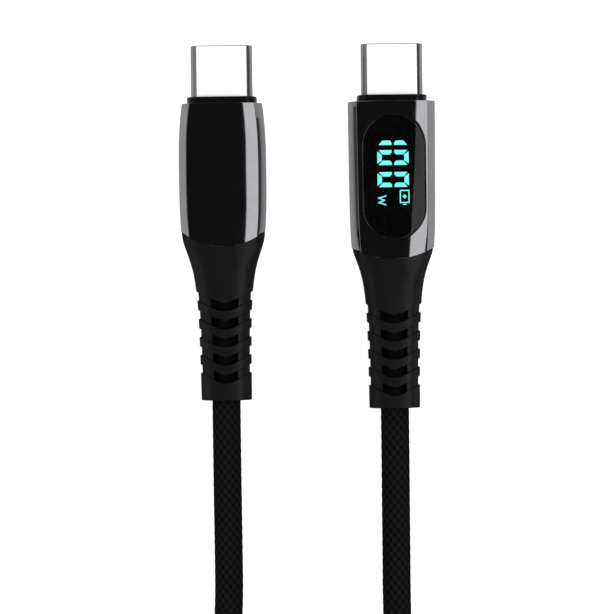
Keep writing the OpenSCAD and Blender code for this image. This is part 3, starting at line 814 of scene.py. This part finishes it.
def shell_mesh(plug):
    """The steel plug shell: a flattened tube whose mouth is rolled inwards a little."""
    mouth = [(0.09, SHELL_WALL), (0.02, 0.16), (0.0, 0.11), (0.015, 0.06), (0.05, 0.025),
             (0.11, 0.0)]
    tube = [(s, 0.0) for s in even(0.4, SHELL_END, 8)]
    bore = [(SHELL_END, SHELL_WALL), (SHELL_BORE_END, SHELL_WALL)]
    loops = [[plug.at(x, s, z) for x, z in obround(SHELL_W - 2 * d, SHELL_H - 2 * d, 28)]
             for s, d in mouth + tube + bore]
    return lofted(loops, loop=True)


# Faces turned further to the side or forwards than these get the shell's painted shade
SIDE_FACING = 0.33
MOUTH_FACING = 0.35


def is_shell_shade(face):
    """Whether a face of a plug shell is on its round sides or its mouth, where its steel is painted
    as shade.
    """
    return abs(face.normal.x) > SIDE_FACING or abs(face.normal.y) > MOUTH_FACING


shells = {}
noses = {}
for plug in (METER, PLAIN):
    shells[plug.name] = piece(plug.name + "_shell_tube", *shell_mesh(plug), plug_steel, 60.0,
                              painted_shade_steel, is_shell_shade)
    noses[plug.name] = piece(plug.name + "_nose_collar", *nose_mesh(plug), black_moulding, 50.0)


# ---------- Cord ----------

# Routes along the surface from each boot to the hank, as in the CAD model
METER_ROUTE = [
    (-0.1, -24.35, 3.2), (-0.1, -30, 3.1), (-0.1, -37, 2.5), (-0.1, -44, 2), (-0.1, -51, 1.9),
    (0.15, -58, 1.9), (1.2, -65, 1.9), (2.9, -72, 1.9), (4.1, -79, 1.9), (4.2, -86, 1.9)]
PLAIN_ROUTE = [
    (-22.62, -23.05, 3.2), (-22.62, -29, 3.1), (-22.62, -36, 2.5), (-22.6, -43, 2),
    (-22.65, -50, 1.9), (-23.1, -56, 2.1), (-24.6, -61.5, 2.9), (-26.2, -67, 4.2),
    (-26.9, -73, 5.4), (-27, -79.5, 5.7), (-27, -86, 5.7)]

HANK_X = -11.375
HANK_Y = -86.0
LOW = 1.9
HIGH = 5.7
INNER_R = 11.8
OUTER_R = 15.6
INNER_BEND = 18.6
END_STRAIGHT = 6.0
FAR_Y = -54.8
BEND_X = 20.55
BEND_Y = -22.4
LOBE_TURN = 47.47

# The hank rises to lie on the tie: how far, and from where to where beside the tie's middle
TIE_LIFT = 1.2
LIFT_FULL = 7.5
LIFT_SLOPE = 11.0


def smooth_route(points):
    """The route as a smooth curve through its points, about half a millimetre apart."""
    p = [Vector(q) for q in points]
    p = [p[0] * 2 - p[1]] + p + [p[-1] * 2 - p[-2]]
    curve = []
    for i in range(1, len(p) - 2):
        steps = round((p[i + 1] - p[i]).length * 2)
        for k in range(steps):
            t = k / steps
            curve.append(0.5 * (2 * p[i] + (p[i + 1] - p[i - 1]) * t
                                + (2 * p[i - 1] - 5 * p[i] + 4 * p[i + 1] - p[i + 2]) * t ** 2
                                + (3 * p[i] - p[i - 1] - 3 * p[i + 1] + p[i + 2]) * t ** 3))
    curve.append(p[-2])
    return curve


def arc(x, y, r, start, end):
    """Points of an arc about (x, y), between two angles in degrees."""
    steps = max(round(abs(math.radians(end - start)) * r * 2), 4)
    return [(x + r * math.cos(math.radians(a)), y + r * math.sin(math.radians(a)))
            for a in even(start, end, steps)]


def straight(a, b):
    """Points of the straight line from a to b."""
    steps = max(round(math.dist(a, b) * 2), 1)
    return [(a[0] + (b[0] - a[0]) * t, a[1] + (b[1] - a[1]) * t) for t in even(0.0, 1.0, steps)]


def strand(side, r):
    """One side of the hank going away from the plugs: lobe, waist, lobe."""
    bend = INNER_R + INNER_BEND - r
    waist = BEND_X - bend
    far_bend = FAR_Y - BEND_Y
    upper = arc(0, 0, r, 0, -LOBE_TURN) + arc(BEND_X, BEND_Y, bend, 180 - LOBE_TURN, 180)
    lower = [(x, FAR_Y - y) for x, y in reversed(upper)]
    path = upper + straight((waist, BEND_Y), (waist, far_bend)) + lower
    return [(side * x, y) for x, y in path]


def hank_path():
    """The whole hank: four turns, two strands wide and two deep, lifted over the tie."""
    flat = []

    def lay(points, z, z_end=None):
        last = len(points) - 1
        for k, (x, y) in enumerate(points):
            share = 0.0 if z_end is None else ease((k / last - 0.25) / 0.5)
            flat.append((x, y, z + share * ((z if z_end is None else z_end) - z)))

    def turn(r, z):
        lay(strand(1, r), z)
        lay(arc(0, FAR_Y, r, 0, -180), z)
        lay(strand(-1, r)[::-1], z)

    loop_r = (OUTER_R + INNER_R) / 2
    aside = (OUTER_R - INNER_R) / 2
    turn(OUTER_R, LOW)
    lay(straight((-OUTER_R, 0), (-OUTER_R, END_STRAIGHT))
        + arc(-aside, END_STRAIGHT, loop_r, 180, 0)
        + straight((INNER_R, END_STRAIGHT), (INNER_R, 0)), LOW)
    turn(INNER_R, LOW)
    lay(arc(0, 0, INNER_R, 180, 0), LOW, HIGH)
    turn(INNER_R, HIGH)
    lay(straight((-INNER_R, 0), (-INNER_R, END_STRAIGHT))
        + arc(aside, END_STRAIGHT, loop_r, 180, 0)
        + straight((OUTER_R, END_STRAIGHT), (OUTER_R, 0)), HIGH)
    turn(OUTER_R, HIGH)
    lifted = []
    for x, y, z in flat:
        off = abs(y - FAR_Y / 2)
        lift = TIE_LIFT * (1 - ease((off - LIFT_FULL) / LIFT_SLOPE))
        lifted.append(Vector((HANK_X + x, HANK_Y + y, z + lift)))
    return lifted


def evenly(points, spacing):
    """Stations (distance, point) along the line, spaced as spacing(distance, total) asks."""
    line = [points[0]]
    for p in points[1:]:
        if (p - line[-1]).length > 0.02:
            line.append(p)
    along = [0.0]
    for a, b in zip(line, line[1:]):
        along.append(along[-1] + (b - a).length)
    total = along[-1]
    stations = []
    at = 0.0
    i = 0
    while at < total:
        while along[i + 1] < at:
            i += 1
        f = (at - along[i]) / (along[i + 1] - along[i])
        stations.append((at, line[i].lerp(line[i + 1], f)))
        at += spacing(at, total)
    stations.append((total, line[-1]))
    return stations, total


# The braid: how many bands run each way around the cord, and how far along it a band goes
# while it turns by one band; how high a band rises where it passes over, and how slim bands are
CARRIERS = 11
PICK = 1.3
HANK_CARRIERS = 8
HANK_PICK = 1.74
BRAID_DEPTH = 0.06
BAND_LIFT = 0.3
BAND_FIT = 2.05

# How far from each boot the cord has its fine mesh, then the points and spacing of the rings
SHOWN = 52.0
PLAIN_SIDES = 32
FINE_SIDES = 3 * PLAIN_SIDES
PLAIN_SPACING = 0.45
FINE_SPACING = 0.26


def band_height(across, over):
    """Height of a band at a distance across it, where over goes from -1, under, to 1, over."""
    rounding = math.sqrt(max(1 - (BAND_FIT * across) ** 2, 0.0))
    return BAND_LIFT * over + (1 - BAND_LIFT) * rounding


def braid_height(turn, along):
    """Height of the braid above its valleys, from 0 to 1: bands that pass over and under."""
    u = CARRIERS * turn + along / PICK
    v = CARRIERS * turn - along / PICK
    i = round(u)
    j = round(v)
    return max(band_height(u - i, math.cos(math.pi * (v + i))),
               band_height(v - j, -math.cos(math.pi * (u + j))), 0.0)


def simple_braid_height(turn, along):
    """The same from 0 to 1 for the hank, whose coarser rings only hold round bumps."""
    u = HANK_CARRIERS * turn + along / HANK_PICK
    v = HANK_CARRIERS * turn - along / HANK_PICK
    return 0.5 + 0.25 * (math.cos(2 * math.pi * u) + math.cos(2 * math.pi * v))


def cord_mesh(stations, total):
    """The cord: a tube whose skin is braided, finer where it lies open than in the hank."""
    points = []
    heights = []
    faces = []
    before = None
    for k, (along, p) in enumerate(stations):
        ahead = stations[min(k + 1, len(stations) - 1)][1] - stations[max(k - 1, 0)][1]
        ahead.normalize()
        side = ahead.cross(Vector((0, 0, 1))).normalized()
        up = side.cross(ahead)
        fine = min(along, total - along) < SHOWN
        n = FINE_SIDES if fine else PLAIN_SIDES
        height = braid_height if fine else simple_braid_height
        start = len(points)
        for j in range(n):
            turn = j / n
            a = 2 * math.pi * turn
            heights.append(height(turn, along))
            r = CORD_R - BRAID_DEPTH * (1 - heights[-1])
            points.append(p + side * (math.cos(a) * r) + up * (math.sin(a) * r))
        if before is not None:
            m, first = before
            if m == n:
                for j in range(n):
                    faces.append((first + j, start + j, start + (j + 1) % n,
                                  first + (j + 1) % n))
            else:
                fine_at, coarse_at = (first, start) if m > n else (start, first)
                for j in range(PLAIN_SIDES):
                    a0 = coarse_at + j
                    a1 = coarse_at + (j + 1) % PLAIN_SIDES
                    b0 = fine_at + 3 * j
                    b1 = fine_at + 3 * j + 1
                    b2 = fine_at + 3 * j + 2
                    b3 = fine_at + (3 * j + 3) % FINE_SIDES
                    if m > n:
                        faces += [(b0, a0, b1), (b1, a0, b2), (b2, a0, a1), (b2, a1, b3)]
                    else:
                        faces += [(a0, b0, b1), (a0, b1, b2), (a0, b2, a1), (a1, b2, b3)]
        before = (n, start)
    faces.append(tuple(range(FINE_SIDES - 1, -1, -1)))
    faces.append(tuple(range(len(points) - FINE_SIDES, len(points))))
    return points, faces, heights


def ring_spacing(at, total):
    """The distance to the next ring of the cord."""
    return FINE_SPACING if min(at, total - at) < SHOWN else PLAIN_SPACING


cord_line = smooth_route(METER_ROUTE) + hank_path() + smooth_route(PLAIN_ROUTE)[::-1]
cord_stations, cord_length = evenly(cord_line, ring_spacing)
cord_points, cord_faces, cord_heights = cord_mesh(cord_stations, cord_length)
cord = piece("braided_cord", cord_points, cord_faces, cord_braid, 180.0)
cord.data.attributes.new("rise", "FLOAT", "POINT").data.foreach_set("value", cord_heights)


# ---------- Tie ----------

TIE_T = 1.1
TIE_HALF_W = 5.0
TIE_Z = 5.05
TIE_HALF_X = 8.27
TIE_HALF_Z = 4.42
TIE_CORNER_R = 1.7

# The strap starts on top, goes once around, climbs onto itself and ends flat
TIE_START_X = 4.6
TIE_RAMP = 3.0
TIE_FLAT_X = 3.0
TIE_END_X = -4.0
OVERLAP_RISE = TIE_T + 0.08


def tie_line():
    """The middle line of the strap, as points (x, z): once around, then over its own start."""
    r = TIE_CORNER_R
    mid_x = TIE_HALF_X - r
    mid_z = TIE_HALF_Z - r
    line = [(TIE_START_X, TIE_HALF_Z), (0.0, TIE_HALF_Z)]
    for cx, cz, start in ((-mid_x, mid_z, 90), (-mid_x, -mid_z, 180), (mid_x, -mid_z, 270),
                          (mid_x, mid_z, 360)):
        line += [(cx + r * math.cos(math.radians(a)), cz + r * math.sin(math.radians(a)))
                 for a in even(start, start + 90, 10)]
    line += [(mid_x - u * TIE_RAMP, TIE_HALF_Z + ease(u) * OVERLAP_RISE)
             for u in even(0.0, 1.0, 10)[1:]]
    line += [(x, TIE_HALF_Z + OVERLAP_RISE) for x in even(TIE_FLAT_X, TIE_END_X, 12)]
    return [Vector(p) for p in line]


def tie_mesh():
    """The strap: a flat section with softened edges, narrower towards its end."""
    line = tie_line()
    far_end = len(line) - 1
    rings = []
    half_t = TIE_T / 2
    edge = [(TIE_HALF_W, -0.2), (TIE_HALF_W, 0.2), (TIE_HALF_W - 0.12, 0.42),
            (TIE_HALF_W - 0.35, half_t)]
    top = [(w, half_t) for w in even(TIE_HALF_W - 0.8, 0.8 - TIE_HALF_W, 8)]
    upper = edge + top + [(-w, t) for w, t in reversed(edge)]
    section = upper + [(-w, -t) for w, t in upper[1:-1]]
    lowest = min(p.y for p in line) - half_t
    for k, p in enumerate(line):
        ahead = (line[min(k + 1, far_end)] - line[max(k - 1, 0)]).normalized()
        normal = Vector((ahead.y, -ahead.x))
        to_end = min(k, far_end - k) if k > far_end - 4 else 4
        narrow = (0.86, 0.95, 0.985, 1.0, 1.0)[to_end]
        rings.append([(HANK_X + p.x + normal.x * t, HANK_Y + FAR_Y / 2 + w * narrow,
                       TIE_Z + max(p.y + normal.y * t, lowest)) for w, t in section])
    return lofted(rings)


tie = piece("hook_and_loop_tie", *tie_mesh(), hook_loop, 40.0)


# ---------- Pieces on their bodies ----------

ROOT = "cable"

for skin, node, slot in (
        (meter_casing, "meter_casing", "black_chrome"),
        (plain_casing, "plain_casing", "black_chrome"),
        (meter_lens, "meter_lens", "smoked_lens"),
        (meter_boot, "meter_boot", "boot_rubber"),
        (plain_boot, "plain_boot", "boot_rubber"),
        (shells["meter"], "meter_shell", "plug_steel"),
        (shells["plain"], "plain_shell", "plug_steel"),
        (noses["meter"], "meter_nose", "black_moulding"),
        (noses["plain"], "plain_nose", "black_moulding"),
        (tie, "cord_tie", "hook_loop")):
    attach(skin, ROOT)
    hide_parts(node)

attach(cord, ROOT)
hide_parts("cord_meter_run", "cord_plain_run", "cord_hank")

INNER_FINISHES_AND_SHADE = {
    "insulator": black_moulding, "upper_contacts": gold_contacts,
    "lower_contacts": gold_contacts, "contact_tails": gold_contacts,
    "latch_left": spring_steel, "latch_right": spring_steel, "latch_plate": spring_steel,
    "light_box": light_box, "lit_segments": lit_segments, "dark_segments": dark_segments,
    "leds": led_chips, "board": circuit_board, "chips": chip_epoxy, "spacer": inner_mould,
    "wires": wire_skin, "inner_mould": inner_mould, "crimp": spring_steel,
    # The cord's end inside a boot is painted near-black as shade in its slots
    "cord_end": painted_slot_shade}
for name, node in nodes.items():
    part = name.split("_", 1)[1]
    if part in INNER_FINISHES_AND_SHADE and not name.startswith("cord_"):
        for material_slot in node.material_slots:
            material_slot.material = INNER_FINISHES_AND_SHADE[part]

on_plain_end = [nodes["plain_" + part] for part in INNER_FINISHES_AND_SHADE if "plain_" + part in nodes]
on_plain_end += [plain_casing, plain_boot, shells["plain"], noses["plain"], tie]


# ---------- Floor and light ----------

FLOOR_HALF = 1.5

floor_mesh = bpy.data.meshes.new("floor")
floor_mesh.from_pydata([(-FLOOR_HALF, -FLOOR_HALF, 0), (FLOOR_HALF, -FLOOR_HALF, 0),
                        (FLOOR_HALF, FLOOR_HALF, 0), (-FLOOR_HALF, FLOOR_HALF, 0)],
                       [], [(0, 1, 2, 3)])
floor = bpy.data.objects.new("floor", floor_mesh)
bpy.context.scene.collection.objects.link(floor)
floor_paper = finish("floor_paper", (0.60, 0.60, 0.60), (0.62, 0.62, 0.62), (0.85, 0.9),
                     scale=0.02, specular=0.1)
paper_shader = next(n for n in floor_paper.node_tree.nodes if n.type == "BSDF_PRINCIPLED")
paper_shader.inputs["Emission Color"].default_value = (1.0, 1.0, 1.0, 1.0)
paper_shader.inputs["Emission Strength"].default_value = 0.72
floor_mesh.materials.append(floor_paper)


def softbox(name, place, aim, size, radiance, in_reflections):
    """An area light, placed and aimed in metres, of that radiance."""
    data = bpy.data.lights.new(name, "AREA")
    data.shape = "RECTANGLE"
    data.size = size[0]
    data.size_y = size[1]
    data.energy = radiance * math.pi * size[0] * size[1]
    obj = bpy.data.objects.new(name, data)
    obj.location = place
    obj.rotation_euler = (Vector(aim) - Vector(place)).to_track_quat("-Z", "Y").to_euler()
    obj.visible_glossy = in_reflections
    obj.visible_camera = False
    bpy.context.scene.collection.objects.link(obj)
    return obj


SIDE_LIGHT_DISTANCE = 0.5
SIDE_LIGHT_LENGTH = 0.9
SIDE_LIGHT_Y = -0.02


def side_light(name, angle, x, width, radiance):
    """A long softbox in line with the plugs, at that angle to the right of straight above."""
    tilt = math.radians(angle)
    place = (x + math.sin(tilt) * SIDE_LIGHT_DISTANCE, SIDE_LIGHT_Y,
             math.cos(tilt) * SIDE_LIGHT_DISTANCE)
    light = softbox(name, place, (x, SIDE_LIGHT_Y, 0.0), (width, SIDE_LIGHT_LENGTH), radiance,
                    True)
    light.rotation_euler = (0.0, tilt, 0.0)


side_light("strip", 34.4, -0.006, 0.182, 2.6)
side_light("fill", -58.0, -0.012, 0.2, 1.1)
softbox("overhead", (0.0, 0.0, 1.2), (0.0, 0.0, 0.0), (2.2, 2.2), 1.45, False)

# The world reflects as a soft sky that is brightest at the horizon; the camera sees it white
HORIZON = 0.75
ZENITH = 0.03
SEEN = 1.05

world = bpy.data.worlds.new("studio")
bpy.context.scene.world = world
world.use_nodes = True
world_tree = world.node_tree
background = next(n for n in world_tree.nodes if n.type == "BACKGROUND")
ray = world_tree.nodes.new("ShaderNodeLightPath")
sky = world_tree.nodes.new("ShaderNodeTexCoord")
height = world_tree.nodes.new("ShaderNodeSeparateXYZ")
world_tree.links.new(sky.outputs["Generated"], height.inputs["Vector"])
brightness = world_tree.nodes.new("ShaderNodeMix")
world_tree.links.new(ray.outputs["Is Camera Ray"], brightness.inputs["Factor"])
world_tree.links.new(spread(world_tree, height.outputs["Z"], HORIZON, ZENITH, 0.0, 0.5),
                     brightness.inputs["A"])
brightness.inputs["B"].default_value = SEEN
world_tree.links.new(brightness.outputs["Result"], background.inputs["Strength"])
background.inputs["Color"].default_value = (1.0, 1.0, 1.0, 1.0)
